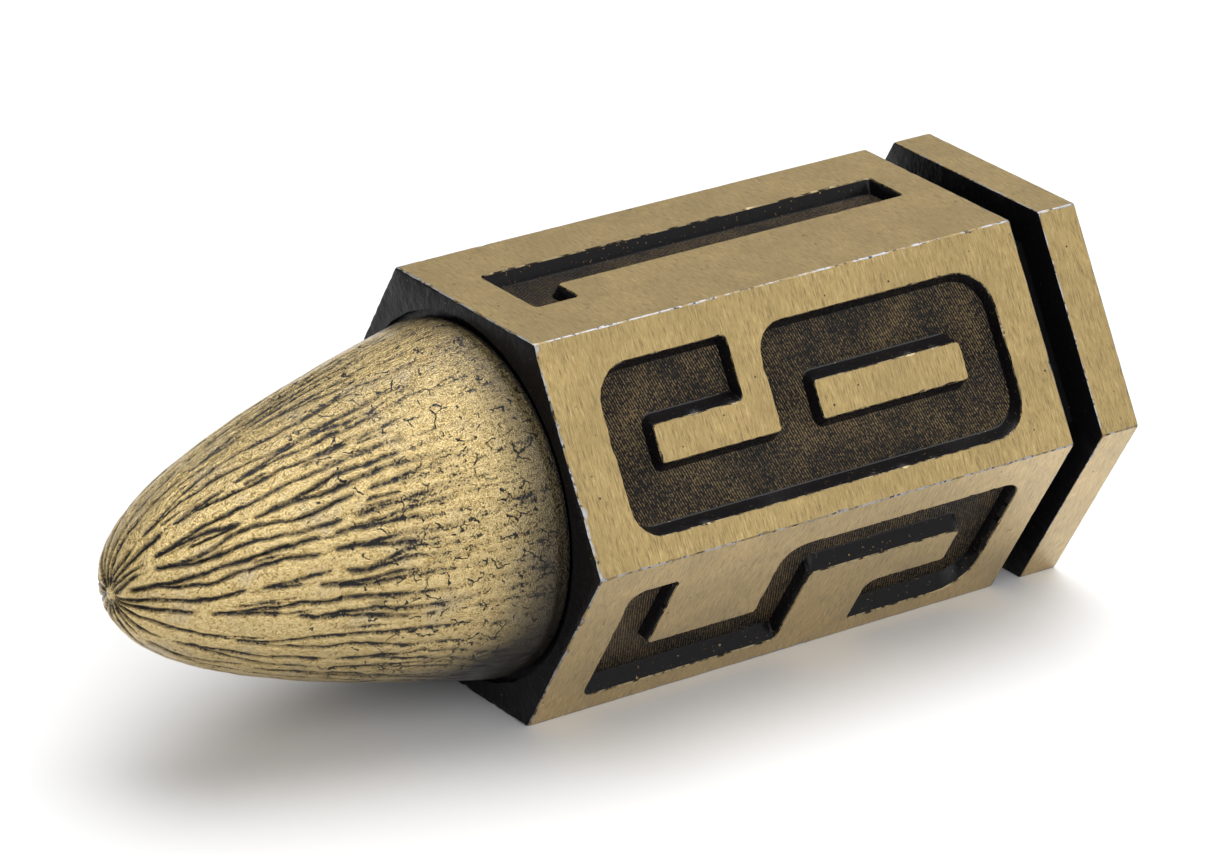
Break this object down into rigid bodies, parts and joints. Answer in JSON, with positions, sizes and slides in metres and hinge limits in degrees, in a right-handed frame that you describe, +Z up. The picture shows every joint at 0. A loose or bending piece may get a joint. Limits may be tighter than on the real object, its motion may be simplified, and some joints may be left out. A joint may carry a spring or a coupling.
{
  "type": "cryptex",
  "caption": "Hexagonal cryptex capsule lying on a flat: rounded nose that draws out with a vault tube, sunk numeral on each side, turning hexagonal dial behind a dark waist.",
  "frame": {"origin": "middle of the underside of the closed capsule, on the surface it lies on", "axes": "+X along the capsule's axis from the nose to the dial, +Z up with the flat that carries the 4 underneath, +Y across to the far side when the nose points left"},
  "size_m": [0.0636, 0.0278, 0.024],
  "materials": {
    "antique_brass": "brushed antique brass plate with worn silvery edges and near-black recesses",
    "cast_brass": "satin antique brass over a ribbed casting, blackened towards the base",
    "yellow_brass": "turned",
    "steel": "turned",
    "spring_steel": "blued",
    "black_rubber": "matt"
  },
  "bodies": {
    "casing": {"body_shell": "antique_brass", "guide_tube": "yellow_brass", "spacer_1": "steel", "spacer_2": "steel", "spacer_3": "steel", "rear_bearing": "yellow_brass", "bearing_dowel": "steel", "bearing_circlip": "spring_steel", "click_spring": "spring_steel"},
    "dial": {"dial_cap": "antique_brass", "drive_spindle": "steel", "drive_cam": "yellow_brass", "cam_screw": "steel", "dial_screw": "steel"},
    "wheel_3": {"wheel_3": "yellow_brass"},
    "wheel_2": {"wheel_2": "yellow_brass"},
    "wheel_1": {"wheel_1": "yellow_brass"},
    "nose": {"nose": "cast_brass", "vault_tube": "steel", "core_screw": "steel", "lock_pin_1": "steel", "lock_pin_2": "steel", "lock_pin_3": "steel", "seal_ring": "black_rubber"}
  },
  "joints": [
    {"name": "nose_pull", "type": "slide", "parent": "casing", "child": "nose", "axis": [-1, 0, 0], "range_m": [0, 0.04]},
    {"name": "dial_turn", "type": "hinge", "parent": "casing", "child": "dial", "pos_m": [0, 0, 0.012], "axis": [1, 0, 0], "continuous": true, "deforming": ["click_spring"]},
    {"name": "wheel_3_turn", "type": "hinge", "parent": "dial", "child": "wheel_3", "pos_m": [0, 0, 0.012], "axis": [1, 0, 0], "range_deg": [-103, 223]},
    {"name": "wheel_2_turn", "type": "hinge", "parent": "wheel_3", "child": "wheel_2", "pos_m": [0, 0, 0.012], "axis": [1, 0, 0], "range_deg": [-223, 103]},
    {"name": "wheel_1_turn", "type": "hinge", "parent": "wheel_2", "child": "wheel_1", "pos_m": [0, 0, 0.012], "axis": [1, 0, 0], "range_deg": [-163, 163]}
  ]
}
